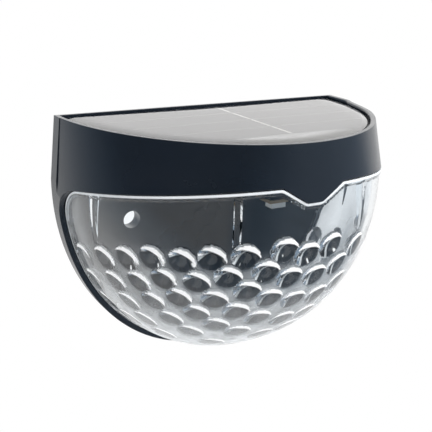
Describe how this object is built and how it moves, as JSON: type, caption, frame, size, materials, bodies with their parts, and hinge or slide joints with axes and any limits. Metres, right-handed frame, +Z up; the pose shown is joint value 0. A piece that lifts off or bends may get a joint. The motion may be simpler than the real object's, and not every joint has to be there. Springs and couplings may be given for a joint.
{
  "type": "solar fence light",
  "caption": "Half-round solar fence light: black hood with a solar panel on top, clear dimpled lens below, and a flat back flange that hangs on screws.",
  "frame": {"origin": "midway between the two hanging holes, on the wall plane", "axes": "+X to the right seen from the front, -Y away from the wall towards the viewer, +Z up"},
  "size_m": [0.1152, 0.0678, 0.0893],
  "materials": {
    "housing_plastic": "satin moulded black plastic",
    "clear_plastic": "clear moulded plastic",
    "panel_epoxy": "clear glossy resin",
    "panel_board": "dark resin laminate",
    "solar_cell": "dark coated silicon",
    "tinned_metal": "tinned",
    "sealant": "dull",
    "rubber": "dull foam",
    "phenolic_board": "brown laminate",
    "led_case": "white moulded plastic",
    "phosphor": "yellow resin",
    "screw_steel": "zinc plated",
    "battery_sleeve": "shrink sleeve",
    "circuit_board": "resin laminate",
    "chip_epoxy": "moulded resin",
    "component_body": "ceramic coating",
    "switch_plastic": "moulded plastic",
    "switch_brass": "plain",
    "red_insulation": "wire insulation",
    "black_insulation": "wire insulation"
  },
  "bodies": {
    "light": {"battery_cap": "tinned_metal", "battery_cell": "battery_sleeve", "battery_contact_minus": "tinned_metal", "battery_contact_plus": "tinned_metal", "battery_lead_minus": "black_insulation", "battery_lead_plus": "red_insulation", "battery_spring": "tinned_metal", "board_screws": "screw_steel", "bus_ribbons": "tinned_metal", "capacitor": "component_body", "chamber_cover": "housing_plastic", "control_board": "circuit_board", "controller_chip": "chip_epoxy", "cover_gasket": "rubber", "cover_screws": "screw_steel", "housing": "housing_plastic", "inductor": "component_body", "led": "led_case", "led_board": "phenolic_board", "led_lead_black": "black_insulation", "led_lead_red": "red_insulation", "led_phosphor": "phosphor", "lens": "clear_plastic", "panel_board": "panel_board", "panel_cover": "panel_epoxy", "panel_lead_black": "black_insulation", "panel_lead_red": "red_insulation", "panel_sealant": "sealant", "resistors": "chip_epoxy", "solar_cells": "solar_cell", "switch_base": "switch_plastic", "switch_frame": "screw_steel", "switch_lead_a": "black_insulation", "switch_lead_b": "red_insulation", "switch_screws": "screw_steel", "switch_terminals": "switch_brass"},
    "switch": {"switch_knob": "switch_plastic"}
  },
  "joints": [
    {"name": "switch_slide", "type": "slide", "parent": "light", "child": "switch", "axis": [1, 0, 0], "range_m": [0, 0.003]}
  ]
}
